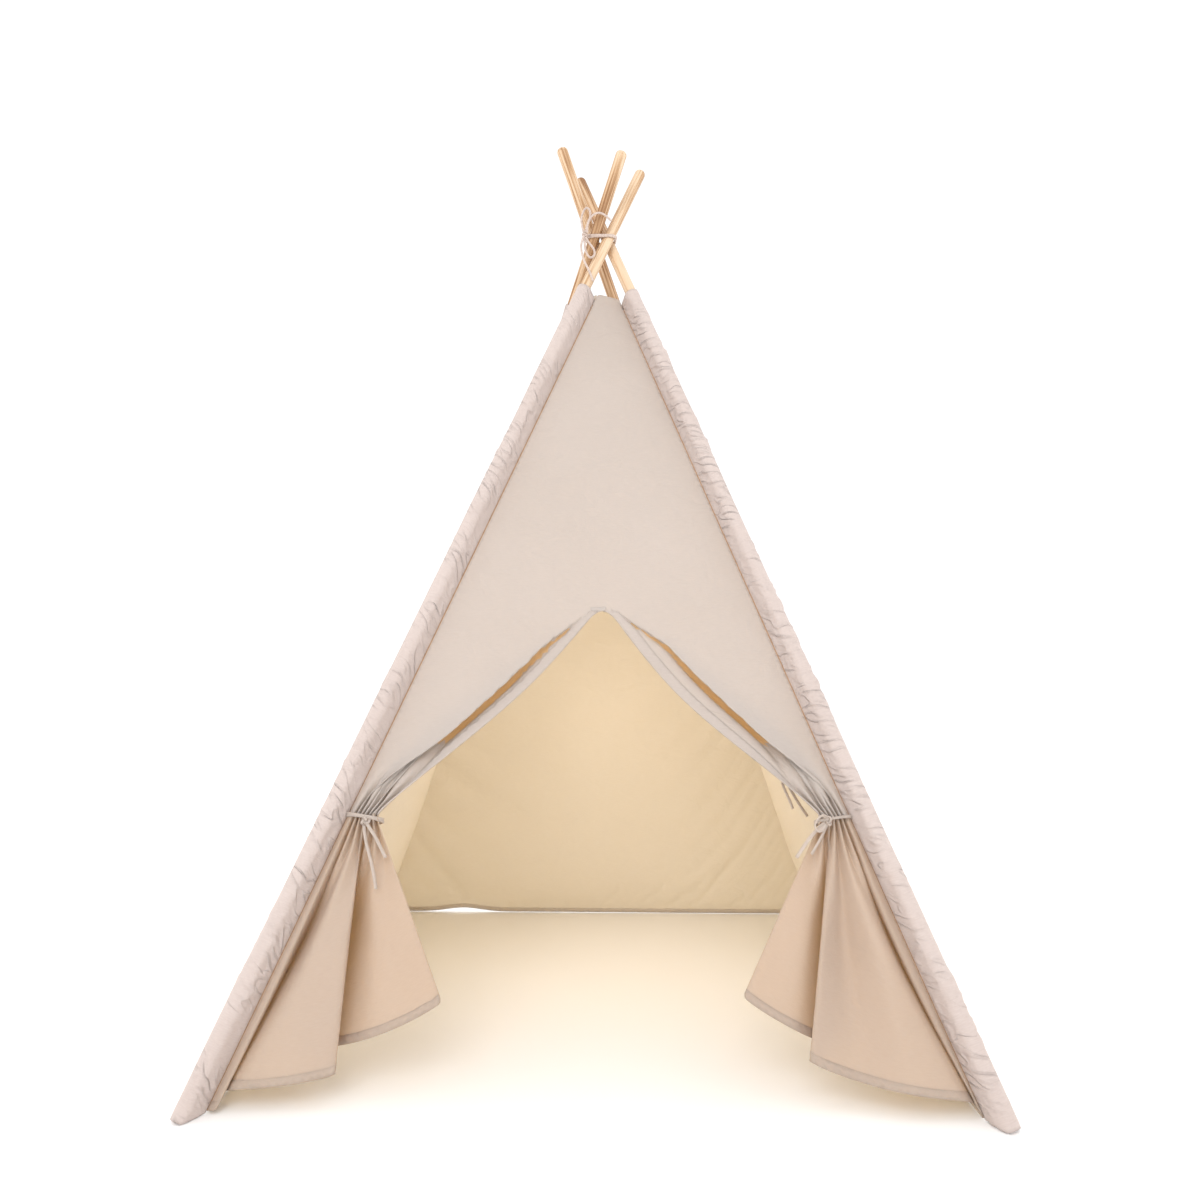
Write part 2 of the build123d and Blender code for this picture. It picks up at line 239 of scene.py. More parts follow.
CREAM, CREAM_SHADE = (0.78, 0.745, 0.72), (0.73, 0.685, 0.65)
GOLD, DEEP_GOLD = (0.93, 0.82, 0.63), (0.94, 0.75, 0.48)
WALL = canvas("wall_canvas", CREAM, CREAM_SHADE, GOLD, through=0.47)
WALL_HEM = canvas("wall_hem_canvas", CREAM, CREAM_SHADE, GOLD, through=0.47, crumple=0.8)
FRONT = canvas(
    "front_canvas", (0.68, 0.615, 0.575), (0.63, 0.565, 0.52), (0.80, 0.68, 0.53), through=0.32
)
# Painted golden glow and shade: the same canvas, darker and more golden, for the cloth in the gap behind the
# fold's edge.
SLOT_PAINTED_GLOW_CLOTH = canvas(
    "fold_canvas", (0.68, 0.56, 0.40), (0.62, 0.50, 0.34), (0.95, 0.72, 0.38), through=0.55
)
SKIRT = canvas(
    "door_canvas", (0.655, 0.57, 0.505), (0.60, 0.505, 0.435), DEEP_GOLD, through=0.42, crumple=0.35
)
HEM = canvas(
    "hem_canvas", (0.63, 0.545, 0.475), (0.56, 0.47, 0.40), DEEP_GOLD, through=0.38, crumple=0.9
)
DOOR_HEM = canvas("door_edge_canvas", (0.64, 0.56, 0.51), (0.57, 0.49, 0.44), GOLD, through=0.2)
SLEEVE = canvas(
    "sleeve_canvas",
    (0.67, 0.575, 0.535),
    (0.59, 0.49, 0.45),
    GOLD,
    through=0.1,
    crumple=0.9,
    pulled=2.3 * MM,
)
TAPE_CLOTH = canvas(
    "tape_cotton",
    (0.68, 0.60, 0.545),
    (0.58, 0.49, 0.43),
    (0.92, 0.86, 0.78),
    through=0.3,
    weave=0.6 * MM,
    crumple=0.2,
)
CORD = cord_cotton("lashing_cotton", (0.62, 0.51, 0.45), (0.42, 0.32, 0.27))
THREAD = cord_cotton("sewing_thread", (0.74, 0.62, 0.52), (0.50, 0.37, 0.27))
# Darker thread for the front corners' seams: a real seam, its dark colour partly painted shadow of the gap between
# sleeve and wall.
SEAM_SHADOW_THREAD = cord_cotton("seam_thread", (0.46, 0.29, 0.18), (0.30, 0.17, 0.10))


# ---- mesh helpers ----
def mesh_object(name, points, faces, material, uvs):
    """A smooth-shaded mesh with one UV for each of its points."""
    mesh = bpy.data.meshes.new(name)
    mesh.from_pydata([tuple(p) for p in points], [], faces)
    mesh.validate()
    mesh.materials.append(material)
    mesh.shade_smooth()
    layer = mesh.uv_layers.new(name="UVMap")
    corner_vertices = np.empty(len(mesh.loops), int)
    mesh.loops.foreach_get("vertex_index", corner_vertices)
    layer.data.foreach_set("uv", np.asarray(uvs, float)[corner_vertices].ravel())
    piece = bpy.data.objects.new(name, mesh)
    scene.collection.objects.link(piece)
    return piece


def bake_modifiers(piece):
    """Replace a piece's mesh by what its modifiers make of it."""
    depsgraph = bpy.context.evaluated_depsgraph_get()
    depsgraph.update()
    mesh = bpy.data.meshes.new_from_object(piece.evaluated_get(depsgraph))
    piece.modifiers.clear()
    if piece.data.shape_keys:
        piece.shape_key_clear()
    piece.data = mesh
    return piece


def shell(piece, thickness, offset=0.0):
    """Give a piece its thickness: half to each side, or with offset -1 all inwards."""
    skin = piece.modifiers.new("shell", "SOLIDIFY")
    skin.thickness, skin.offset = thickness, offset
    return bake_modifiers(piece)


def tube_faces(rings, sides, closed=False, capped_end=True):
    """The faces of a tube whose points come ring by ring, with flat ends unless it is closed."""
    faces = [
        (
            i * sides + k,
            i * sides + (k + 1) % sides,
            (i + 1) % rings * sides + (k + 1) % sides,
            (i + 1) % rings * sides + k,
        )
        for i in range(rings if closed else rings - 1)
        for k in range(sides)
    ]
    if not closed:
        faces.append(tuple(range(sides))[::-1])
        if capped_end:
            faces.append(tuple((rings - 1) * sides + k for k in range(sides)))
    return faces


def tube_mesh(name, line, half_width, half_thick, material, sides=14):
    """A closed tube of oval section along points, carried along without twisting."""
    line = [Vector(p) for p in line]
    before, after = [line[0], *line[:-1]], [*line[1:], line[-1]]
    tangents = [(b - a).normalized() for a, b in zip(before, after)]
    side = tangents[0].orthogonal().normalized()
    points, uvs, travelled = [], [], 0.0
    for i, (centre, tangent) in enumerate(zip(line, tangents)):
        side = (side - tangent * side.dot(tangent)).normalized()
        across = tangent.cross(side)
        travelled += (centre - line[i - 1]).length if i else 0.0
        for k in range(sides):
            angle = 2 * math.pi * k / sides
            out = side * (half_width * math.cos(angle)) + across * (half_thick * math.sin(angle))
            points.append(centre + out)
            uvs.append((travelled, half_width * 2 * k / sides))
    return mesh_object(name, points, tube_faces(len(line), sides), material, uvs)


def spaced(line, spacing, closed=False):
    """Points at even distances along a line."""
    line = [Vector(p) for p in line] + ([Vector(line[0])] if closed else [])
    reach = [0.0]
    for a, b in zip(line, line[1:]):
        reach.append(reach[-1] + (b - a).length)
    count = max(2, round(reach[-1] / spacing))
    points, i = [], 0
    for k in range(count if closed else count + 1):
        at = reach[-1] * k / count
        while i < len(line) - 2 and reach[i + 1] < at:
            i += 1
        step = reach[i + 1] - reach[i]
        points.append(line[i].lerp(line[i + 1], (at - reach[i]) / step if step else 0))
    return points


def rope_mesh(name, line, radius, material, closed=False):
    """A three-strand twisted cord along a line."""
    sides, strands = 18, 3
    lay = 5.0  # the length of one twist, in diameters
    groove = 0.1  # how deep the strands' grooves are, in radii
    step = radius * 0.5
    line = spaced(line, step, closed)
    n = len(line)
    side, points, uvs = None, [], []
    for i, centre in enumerate(line):
        after = line[(i + 1) % n] if closed else line[min(i + 1, n - 1)]
        before = line[i - 1] if closed or i else line[0]
        tangent = (after - before).normalized()
        side = tangent.orthogonal() if side is None else side - tangent * side.dot(tangent)
        side.normalize()
        across = tangent.cross(side)
        travelled = i * radius * 0.5
        turns = round(n * 0.25 / lay) / n * i if closed else travelled / (2 * radius * lay)
        twist = 2 * math.pi * turns
        for k in range(sides):
            angle = 2 * math.pi * k / sides
            lobe = 1 - groove * (1 - abs(math.cos(strands * (angle - twist) / 2)))
            out = side * math.cos(angle) + across * math.sin(angle)
            points.append(centre + out * (radius * lobe))
            uvs.append((travelled, 2 * radius * k / sides))
    return mesh_object(name, points, tube_faces(n, sides, closed), material, uvs)


STITCH_SPACING = 3.6 * MM
STITCH_HALF = 0.36  # of the spacing
STITCH_DIP = 0.6  # of its lift, that a stitch's ends go down into the cloth
THREAD_RADIUS = 0.4 * MM


def stitches(name, lines, cloth, lift):
    """Rows of short thread stitches that lie on a piece along lines near it."""
    tree = BVHTree.FromPolygons(
        [v.co for v in cloth.data.vertices], [tuple(f.vertices) for f in cloth.data.polygons]
    )
    points, faces = [], []
    for line in lines:
        line = spaced(line, STITCH_SPACING)
        for a, b in zip(line, line[1:]):
            spot, up = tree.find_nearest(a.lerp(b, 0.5))[:2]
            if spot is None:
                continue
            along = (b - a).normalized() * (STITCH_SPACING * STITCH_HALF)
            across = along.cross(up).normalized() * THREAD_RADIUS
            centre = spot + up * lift
            dip = up * (lift * STITCH_DIP)
            k = len(points)
            points += [centre - along - dip, centre + along - dip]
            high = up * THREAD_RADIUS
            points += [centre + r for r in (across, high, -across, -high)]
            for j in range(4):
                first, second = k + 2 + j, k + 2 + (j + 1) % 4
                faces += [(k, second, first), (k + 1, first, second)]
    return mesh_object(name, points, faces, THREAD, [(p.x, p.z) for p in points])


def route_line(name, route):
    """The points of a smooth line that has the route's points, in millimetres, as its control points."""
    data = bpy.data.curves.new(name, "CURVE")
    data.dimensions = "3D"
    data.resolution_u = 8
    spline = data.splines.new("NURBS")
    spline.points.add(len(route) - 1)
    for point, at in zip(spline.points, route):
        point.co = (*(c * MM for c in at), 1)
    spline.order_u = 3
    spline.use_endpoint_u = True
    curve = bpy.data.objects.new(name, data)
    scene.collection.objects.link(curve)
    depsgraph = bpy.context.evaluated_depsgraph_get()
    depsgraph.update()
    mesh = bpy.data.meshes.new_from_object(curve.evaluated_get(depsgraph))
    points = [v.co.copy() for v in mesh.vertices]
    bpy.data.meshes.remove(mesh)
    bpy.data.objects.remove(curve)
    return points


# ---- cords ----
CORD_WIDTH = 4.2 * MM
TAPE_WIDTH = 5.6 * MM
TAPE_THICK = 2.6 * MM

# Routes are in millimetres, from the knot to the free end or back to the knot.
LASHING_ROUTES = {
    "lashing_bow_upper_loop": [
        *((-34, -40, 1426), (-39, -41, 1442), (-38, -42, 1460), (-30, -43, 1475)),
        *((-21, -44, 1468), (-22, -43, 1450), (-29, -41, 1436), (-31, -40, 1426)),
    ],
    "lashing_bow_lower_loop": [
        *((-30, -40, 1416), (-24, -43, 1404), (-14, -47, 1391), (-12, -50, 1377)),
        *((-21, -51, 1370), (-29, -48, 1382), (-32, -43, 1400), (-33, -40, 1416)),
    ],
    "lashing_side_end": [
        *((-27, -43, 1424), (-28, -49, 1437), (-20, -51, 1453)),
        *((-7, -50, 1461), (7, -47, 1458), (18, -45, 1447)),
    ],
    "lashing_hanging_end": [
        *((-34, -42, 1417), (-39, -49, 1402), (-38, -55, 1382)),
        *((-32, -60, 1360), (-22, -64, 1341), (-15, -67, 1320)),
    ],
}
TIE_ROUTES = {
    "left_tie_short_end": [
        *((-340, -399, 364), (-330, -406, 354), (-319, -411, 338), (-308, -414, 318)),
    ],
    "left_tie_long_end": [
        *((-344, -400, 362), (-340, -409, 344), (-331, -417, 322)),
        *((-323, -423, 298), (-318, -428, 276)),
    ],
    "right_tie_short_end": [(341, -400, 367), (334, -407, 356), (325, -411, 342), (315, -414, 327)],
    "right_tie_long_end": [(338, -399, 370), (325, -406, 362), (309, -411, 345), (293, -414, 322)],
    "right_tie_bow": [
        *((340, -402, 378), (334, -411, 384), (324, -418, 380), (318, -421, 370)),
        *((322, -420, 361), (331, -414, 362), (338, -405, 369)),
    ],
    "right_closing_tie_short_end": [
        *((286, -338, 421), (291, -337, 408), (298, -336, 394), (303, -335, 381)),
    ],
    "right_closing_tie_long_end": [
        *((295, -336, 419), (303, -334, 404), (314, -333, 386), (326, -332, 369)),
    ],
}


def place(piece, body, stands_for=None):
    """Let a piece move with a body, and hide the CAD node it stands for."""
    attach(piece, body)
    if stands_for:
        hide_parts(stands_for)


for name, route in LASHING_ROUTES.items():
    line = route_line(f"{name}_route", route)
    cord = rope_mesh(f"{name}_cord", line, CORD_WIDTH / 2, CORD)
    place(cord, "lashing", name)

for name, route in TIE_ROUTES.items():
    line = route_line(f"{name}_route", route)
    tape = tube_mesh(f"{name}_tape", line, TAPE_WIDTH / 2, TAPE_THICK / 2, TAPE_CLOTH)
    place(tape, "front_wall", name)
    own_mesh(tape)


def centre_of(name):
    low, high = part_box(name)
    return (low + high) / 2


def trefoil(centre, size, turn=0.0, count=60):
    """The line of a pulled-tight overhand knot about a centre, closed on itself."""
    line = []
    for k in range(count):
        t = 2 * math.pi * k / count
        x, y = math.sin(t) + 2 * math.sin(2 * t), math.cos(t) - 2 * math.cos(2 * t)
        z = -math.sin(3 * t)
        x, y = x * math.cos(turn) - y * math.sin(turn), x * math.sin(turn) + y * math.cos(turn)
        line.append(Vector(centre) + Vector((x / 3, z / 2.4, y / 3)) * (size / 2))
    return line


KNOT_SIZE = 9 * MM
KNOT_CORD = 0.4  # radius of the cord in the knot, where it is pulled tight, in widths of the cord
knot_at = centre_of("lashing_knot")
knot_line = trefoil(knot_at, KNOT_SIZE)
knot = rope_mesh("lashing_knot_cord", knot_line, CORD_WIDTH * KNOT_CORD, CORD, closed=True)
place(knot, "lashing", "lashing_knot")

# ---- the frame's corners ----
CORNERS = ("front_left", "front_right", "back_right", "back_left")
WALLS = {
    "front_wall": ("front_left", "front_right"),
    "right_wall": ("front_right", "back_right"),
    "back_wall": ("back_right", "back_left"),
    "left_wall": ("back_left", "front_left"),
}
SEAM_REACH = 31 * MM  # from a pole's axis to the seam beside it
SLEEVE_RADIUS = 12.4 * MM
FEET = {m["name"][: -len("_foot")]: Vector(m["pos_m"]) for m in frame["record"]["mounts"]}
CROSSINGS = {
    j["child"][: -len("_pole")]: Vector(j["pos_m"])
    for j in frame["joints"]
    if j["child"].endswith("_pole")
}
ALONG = {c: (CROSSINGS[c] - FEET[c]).normalized() for c in CORNERS}


def inward(corner):
    """Across the pole, in its own upright plane, towards the middle of the tent."""
    lean = CROSSINGS[corner] - FEET[corner]
    flat = Vector((lean.x, lean.y, 0)).normalized()
    return (flat - ALONG[corner] * flat.dot(ALONG[corner])).normalized()


INWARD = {c: inward(c) for c in CORNERS}


def seam_point(corner, height):
    start = FEET[corner] + INWARD[corner] * SEAM_REACH
    return start + ALONG[corner] * ((height - start.z) / ALONG[corner].z)


def wall_point(wall, share, height):
    """A point on a wall: share is 0 at its first seam and 1 at its second."""
    first, second = (seam_point(c, height) for c in WALLS[wall])
    return first.lerp(second, share)


# ---- the lashing's turns round the poles ----
POLE_RADIUS = 10.5 * MM
WRAP_RISE = 0.2  # of the turns, towards the back
WRAP_START = math.radians(225)
WRAP_TURNS = 2.0
WRAP_STEPS = 180  # in a turn
WRAP_CLEAR = 3.4 * MM  # from a pole's surface to the middle of the cord


def pole_point(corner, height):
    """The pole's axis where a turn of the lashing at this height, in front, passes it."""
    rise = WRAP_RISE * (CROSSINGS[corner].y - min(c.y for c in CROSSINGS.values()))
    crossing, along = CROSSINGS[corner], ALONG[corner]
    return crossing + along * ((height + rise - crossing.z) / along.z)


def round_poles(low, high):
    """A line that climbs round the four poles where they cross, as tight as the cord can be."""
    line = []
    steps = int(WRAP_STEPS * WRAP_TURNS)
    for k in range(steps + 1):
        angle = WRAP_START + 2 * math.pi * WRAP_TURNS * k / steps
        height = low + (high - low) * k / steps
        out = Vector((math.cos(angle), math.sin(angle), 0))
        centres = [pole_point(c, height) for c in CORNERS]
        line.append(max(centres, key=out.dot) + out * (POLE_RADIUS + WRAP_CLEAR))
    return line


turns_low, turns_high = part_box("lashing_turns")
turns_line = round_poles(turns_low.z + CORD_WIDTH / 2, turns_high.z - CORD_WIDTH / 2)
knot_side = knot_at.lerp(turns_line[0], 0.25)
wrap = rope_mesh("lashing_wrap", [knot_side, *turns_line, knot_side], CORD_WIDTH / 2, CORD)
place(wrap, "lashing", "lashing_turns")

# ---- wood and metal that show as the frame has them ----
for corner in CORNERS:
    wood = pine(f"{corner}_pine", ALONG[corner])
    metal = drawn_metal(f"{corner}_ferrule_metal", ALONG[corner])
    for name, piece in NODES.items():
        if name.startswith(f"{corner}_pole"):
            piece.data.materials.clear()
            piece.data.materials.append(metal if name.endswith("ferrule") else wood)

# ---- pole sleeves ----
SLEEVE_TOP = 1.309
SLEEVE_HEM, HEM_PROUD = 14 * MM, 0.8 * MM
SLEEVE_STEP = 5.5 * MM  # between its rings of points
SLEEVE_THICK = 1.0 * MM
FOOT_CLOSE, FOOT_DRAWN = 16 * MM, 0.93  # how far up a sleeve's foot draws in, and to what share
SLEEVE_LIVELY = {"front_left": 0.75, "front_right": 1.35, "back_right": 1.0, "back_left": 0.9}
SLEEVE_SEEDS = {c: 11.3 + 17.7 * i for i, c in enumerate(CORNERS)}
WRINKLE_HEIGHT = 1.7 * MM
LOOSENESS = 1.1 * MM  # of the sleeve on its pole
# Two families of wrinkles: how fast they vary round, aslant and along; seed; narrowness; height.
WRINKLES = ((21, 16, 34, 0, 6.0, 1.0), (24, -13, 27, 31, 8.5, 0.8))
SECOND_ROW = 7 * MM  # from the seam to the row that sews the turned cloth down


def sleeve_section(count=48):
    """Place, outward direction and distance of points round a sleeve, from the seam and back."""
    touch = math.acos(SLEEVE_RADIUS / SEAM_REACH)
    straight = math.sqrt(SEAM_REACH**2 - SLEEVE_RADIUS**2)
    arc = (2 * math.pi - 2 * touch) * SLEEVE_RADIUS
    whole = arc + 2 * straight
    section = []
    for k in range(count):
        at = whole * k / count
        if straight <= at <= straight + arc:
            angle = touch + (at - straight) / SLEEVE_RADIUS
            out = (math.cos(angle), math.sin(angle))
            point = (out[0] * SLEEVE_RADIUS, out[1] * SLEEVE_RADIUS)
        else:
            side = 1 if at < straight else -1
            share = (at if side > 0 else whole - at) / straight
            out = (math.cos(touch), side * math.sin(touch))
            point = (
                SEAM_REACH + (out[0] * SLEEVE_RADIUS - SEAM_REACH) * share,
                out[1] * SLEEVE_RADIUS * share,
            )
        section.append((point, out, at))
    return section, whole


def smoothstep(x, low, high):
    t = min(max((x - low) / (high - low), 0.0), 1.0)
    return t * t * (3 - 2 * t)


def creases(u, v, seed):
    """Height of a sleeve's slanting wrinkles at a point on its cloth, 0 to about 1."""
    ridge = 0.0
    for round_, slant, along, shift, narrow, height in WRINKLES:
        value = noise.noise(Vector((u * round_ + v * slant, v * along, seed + shift)))
        ridge += height * max(0.0, 1 - abs(value) * narrow) ** 2
    where = noise.noise(Vector((u * 14, v * 8.5, seed + 7)))
    return ridge * smoothstep(where, -0.15, 0.25)


def sleeve_point(corner, section_point, at, top, whole):
    """A point of the sleeve `at` metres up its pole, at one point of its section."""
    (x, y), (out_x, out_y), u = section_point
    seed = SLEEVE_SEEDS[corner]
    below = max(0.0, 1 - at / FOOT_CLOSE)
    drawn = FOOT_DRAWN + (1 - FOOT_DRAWN) * math.sqrt(max(0.0, 1 - below**2))
    free = smoothstep(min(u, whole - u) / whole, 0.0, 0.10)
    lift = WRINKLE_HEIGHT * creases(u, at, seed) * SLEEVE_LIVELY[corner] * free
    lift += LOOSENESS * (0.5 + noise.noise(Vector((u * 9, at * 7, seed + 3)))) * free
    lift *= min(1.0, (top - at) / 0.03 + 0.2)
    if at > top - SLEEVE_HEM:
        lift += HEM_PROUD * free
    towards = INWARD[corner] * ((x + out_x * lift) * (0.3 + 0.7 * drawn))
    sideways = ALONG[corner].cross(INWARD[corner]) * ((y + out_y * lift) * drawn)
    point = FEET[corner] + ALONG[corner] * at + towards + sideways
    point.z = max(point.z, 0.9 * MM)
    return point


def second_row(corner, side, top):
    """The line of stitches beside the seam, on one side of the sleeve."""
    along, towards = ALONG[corner], INWARD[corner]
    touch = SLEEVE_RADIUS / SEAM_REACH
    out = towards * touch + along.cross(towards) * (side * math.sin(math.acos(touch)))
    lean = (out * touch - towards).normalized()
    start = FEET[corner] + towards * SEAM_REACH + lean * SECOND_ROW
    return [start + along * (0.02 + (top - 0.03) * k / 60) for k in range(61)]


def pole_sleeve(corner):
    section, whole = sleeve_section()
    top = SLEEVE_TOP / ALONG[corner].z
    rows = round(top / SLEEVE_STEP)
    points, uvs = [], []
    for r in range(rows + 1):
        at = top * r / rows
        points += [sleeve_point(corner, each, at, top, whole) for each in section]
        uvs += [(u, at) for _, _, u in section]
    faces = tube_faces(rows + 1, len(section), capped_end=False)
    name, body = f"{corner}_sleeve", f"{corner}_pole"
    piece = mesh_object(f"{name}_canvas", points, faces, SLEEVE, uvs)
    smooth = piece.modifiers.new("smooth", "SMOOTH")
    smooth.factor, smooth.iterations = 0.5, 1
    shell(piece, SLEEVE_THICK, -1.0)
    place(piece, body, name)
    rows_of_stitches = [second_row(corner, side, top) for side in (1, -1)]
    place(stitches(f"{name}_stitches", rows_of_stitches, piece, 0.7 * MM), body)
    line = [seam_point(corner, 0.004 + (SLEEVE_TOP - 0.03) * k / 40) for k in range(41)]
    # The front seams get the darker thread, partly painted shadow of the gap between sleeve and wall.
    thread = SEAM_SHADOW_THREAD if corner.startswith("front") else THREAD
    seam = tube_mesh(f"{corner}_seam", line, 1.5 * MM, 1.5 * MM, thread, 8)
    place(seam, body)


for corner in CORNERS:
    pole_sleeve(corner)

# ---- cloth sheets ----
GRID = 11 * MM
WALL_TOP = 1.307
HEM_WIDTH = GRID
CANVAS_THICK = 1.2 * MM
HEM_THICK = 2.0 * MM
CLOTH_SETTINGS = {
    **{"quality": 7, "mass": 0.25, "air_damping": 2.0, "bending_damping": 1.0},
    **dict.fromkeys(("tension_stiffness", "compression_stiffness"), 25),
    **dict.fromkeys(("shear_stiffness", "tension_damping", "compression_damping"), 12),
    "shear_damping": 12,
}


def zipper(lower, upper):
    """Triangles between two rows of (share, vertex), each sorted by share."""
    faces, i, j = [], 0, 0
    while i < len(lower) - 1 or j < len(upper) - 1:
        up = j < len(upper) - 1
        if i < len(lower) - 1 and (not up or lower[i + 1][0] <= upper[j + 1][0]):
            faces.append((lower[i][1], lower[i + 1][1], upper[j][1]))
            i += 1
        else:
            faces.append((lower[i][1], upper[j + 1][1], upper[j][1]))
            j += 1
    return faces


class Sheet:
    """A triangulated flat wall between two seams, in even rows; a slit may go up its middle."""

    def __init__(self, wall, slit_top=0.0):
        self.wall, self.shares, self.heights, self.faces, self.rows = wall, [], [], [], []
        bottom = 1.5 * MM
        rows = max(2, round((WALL_TOP - bottom) / GRID))
        for r in range(rows + 1):
            height = bottom + (WALL_TOP - bottom) * r / rows
            width = (wall_point(wall, 1, height) - wall_point(wall, 0, height)).length
            cells = max(2, round(width / 2 / GRID))
            left = [self.add(0.5 * k / cells, height) for k in range(cells + 1)]
            middle = left[-1] if height >= slit_top else self.add(0.5, height)
            right = [middle]
            right += [self.add(0.5 + 0.5 * k / cells, height) for k in range(1, cells + 1)]
            if self.rows:
                self.faces += zipper(self.rows[-1][0], left) + zipper(self.rows[-1][1], right)
            self.rows.append((left, right))
        self.shares, self.heights = np.array(self.shares), np.array(self.heights)
        self.flat = np.array([wall_point(wall, s, h) for s, h in zip(self.shares, self.heights)])
        self.right_side = self.find_right_side()

    def add(self, share, height):
        self.shares.append(share)
        self.heights.append(height)
        return share, len(self.shares) - 1

    def find_right_side(self):
        """True for the right half's vertices, its side of the slit among them."""
        right = self.shares > 0.5 + 1e-9
        for face in [list(f) for f in self.faces]:
            if (self.shares[face] > 0.5 + 1e-9).any():
                right[face] = True
        return right

    def uvs(self):
        """Flat cloth coordinates in metres."""
        middle = np.array([wall_point(self.wall, 0.5, h) for h in self.heights])
        first = np.array([wall_point(self.wall, 0, h) for h in self.heights])
        half = np.linalg.norm(middle - first, axis=1)
        return np.stack([(self.shares - 0.5) * 2 * half, self.heights], axis=1)


def drape(name, sheet, start, pinned, material, frames, bending, hold, slack=0.0):
    """Let a sheet hang from `start`: it keeps its flat lengths and is held where it is pinned."""
    piece = mesh_object(name, start, sheet.faces, material, sheet.uvs())
    group = piece.vertex_groups.new(name="held")
    for vertex, weight in pinned.items():
        group.add([int(vertex)], weight, "REPLACE")
    piece.shape_key_add(name="hung")
    flat = piece.shape_key_add(name="flat")
    flat.data.foreach_set("co", sheet.flat.ravel())
    cloth = piece.modifiers.new("cloth", "CLOTH")
    for key, value in CLOTH_SETTINGS.items():
        setattr(cloth.settings, key, value)
    cloth.settings.bending_stiffness = bending
    cloth.settings.vertex_group_mass = "held"
    cloth.settings.pin_stiffness = hold
    cloth.settings.rest_shape_key = flat
    cloth.settings.shrink_min = -slack
    cloth.collision_settings.use_collision = False
    cloth.collision_settings.use_self_collision = False
    cloth.point_cache.frame_start, cloth.point_cache.frame_end = 1, frames
    for f in range(1, frames + 1):
        scene.frame_set(f)
    return bake_modifiers(piece)


def split_off(piece, name, keep_faces, material):
    """A new piece from some of a piece's faces, by index."""
    mesh = piece.data
    used = sorted({v for f in keep_faces for v in mesh.polygons[f].vertices})
    index_of = {v: i for i, v in enumerate(used)}
    points = [mesh.vertices[v].co.copy() for v in used]
    faces = [tuple(index_of[v] for v in mesh.polygons[f].vertices) for f in keep_faces]
    uv_of = {}
    for f in keep_faces:
        for loop in mesh.polygons[f].loop_indices:
            uv_of[mesh.loops[loop].vertex_index] = tuple(mesh.uv_layers[0].data[loop].uv)
    return mesh_object(name, points, faces, material, [uv_of[v] for v in used])


def smoothed(piece):
    smooth = piece.modifiers.new("smooth", "SUBSURF")
    smooth.levels = smooth.render_levels = 1
    return bake_modifiers(piece)


def face_uvs(piece):
    """The mean flat coordinates of each face."""
    uvs, polygons = piece.data.uv_layers[0].data, piece.data.polygons
    return np.array([np.mean([uvs[i].uv for i in f.loop_indices], axis=0) for f in polygons])


# ---- front wall and its two tied-back flaps ----
DOOR_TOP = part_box("door_top_patch")[0].z
BRIDGE_HALF = 11 * MM  # half the width of the cloth left between the flaps at the top of the door
TIE_HEIGHT = centre_of("left_tie_loop").z + 3 * MM
FREE_EDGE_TIED = 0.266  # height, on the closed door, of the point of its edge that is tied back
# For each side: the sag of the door's edge; how much of the strip behind the fold shows; the hem's
# turning points on the ground, (x, y) in metres from the seam inwards; which of them are valleys,
# which take up the width above the hem; and how far folds bow outwards on the way down.
FLAPS = {
    -1: {
        "corner": "front_left",
        "sag": 15 * MM,
        "shows": 27 * MM,
        "hem": [
            *((-0.500, -0.530), (-0.515, -0.488), (-0.487, -0.517), (-0.425, -0.514)),
            *((-0.346, -0.504), (-0.398, -0.438), (-0.304, -0.474), (-0.212, -0.471)),
        ],
        "valleys": (2, 6),
        "bows": {1: 4 * MM, 2: 13 * MM, 3: 27 * MM},
    },
    1: {
        "corner": "front_right",
        "sag": 21 * MM,
        "shows": 44 * MM,
        "hem": [
            *((0.517, -0.529), (0.517, -0.495), (0.504, -0.520), (0.425, -0.526), (0.360, -0.500)),
            *((0.287, -0.499), (0.343, -0.436), (0.272, -0.472), (0.206, -0.468)),
        ],
        "valleys": (2, 5, 7),
        "bows": {1: 16 * MM, 2: 16 * MM, 3: 27 * MM},
    },
}
BUNCH = {"near": 8 * MM, "far": 45 * MM, "depth": 9 * MM, "layers": 12}


def front_normal():
    across = wall_point("front_wall", 1, 0.3) - wall_point("front_wall", 0, 0.3)
    upward = wall_point("front_wall", 0.5, 0.8) - wall_point("front_wall", 0.5, 0.3)
    return across.cross(upward).normalized()


OUTWARD = front_normal()
TIED_EDGE = wall_point("front_wall", 0.5, FREE_EDGE_TIED)
TIED_WIDTH = (TIED_EDGE - seam_point("front_left", TIE_HEIGHT)).length


def gather_line(share_in, height):
    """The height on the seam of the line along which the cloth at this point is gathered."""
    top = DOOR_TOP - TIE_HEIGHT
    edge = DOOR_TOP - FREE_EDGE_TIED
    below = (DOOR_TOP - height) / (1 + (edge / top - 1) * share_in)
    if below <= top:
        return DOOR_TOP - below
    return height / (1 - (1 - FREE_EDGE_TIED / TIE_HEIGHT) * share_in)


def legs(corners):
    return [math.dist(a, b) for a, b in zip(corners, corners[1:])]


def along_folds(corners, share, rounding, taps=5):
    """A point at a share of the folded line's length, with its turns rounded."""
    lengths = legs(corners)
    total = sum(lengths)
    result = np.zeros(2)
    spread = max(0.0, min(rounding, share, 1 - share))
    for k in range(taps):
        at = (share + spread * (2 * k / (taps - 1) - 1)) * total
        for i, length in enumerate(lengths):
            if at <= length or i == len(lengths) - 1:
                t = min(max(at / length, 0), 1) if length > 0 else 0
                result += (1 - t) * np.array(corners[i]) + t * np.array(corners[i + 1])
                break
            at -= length
    return tuple(result / taps)


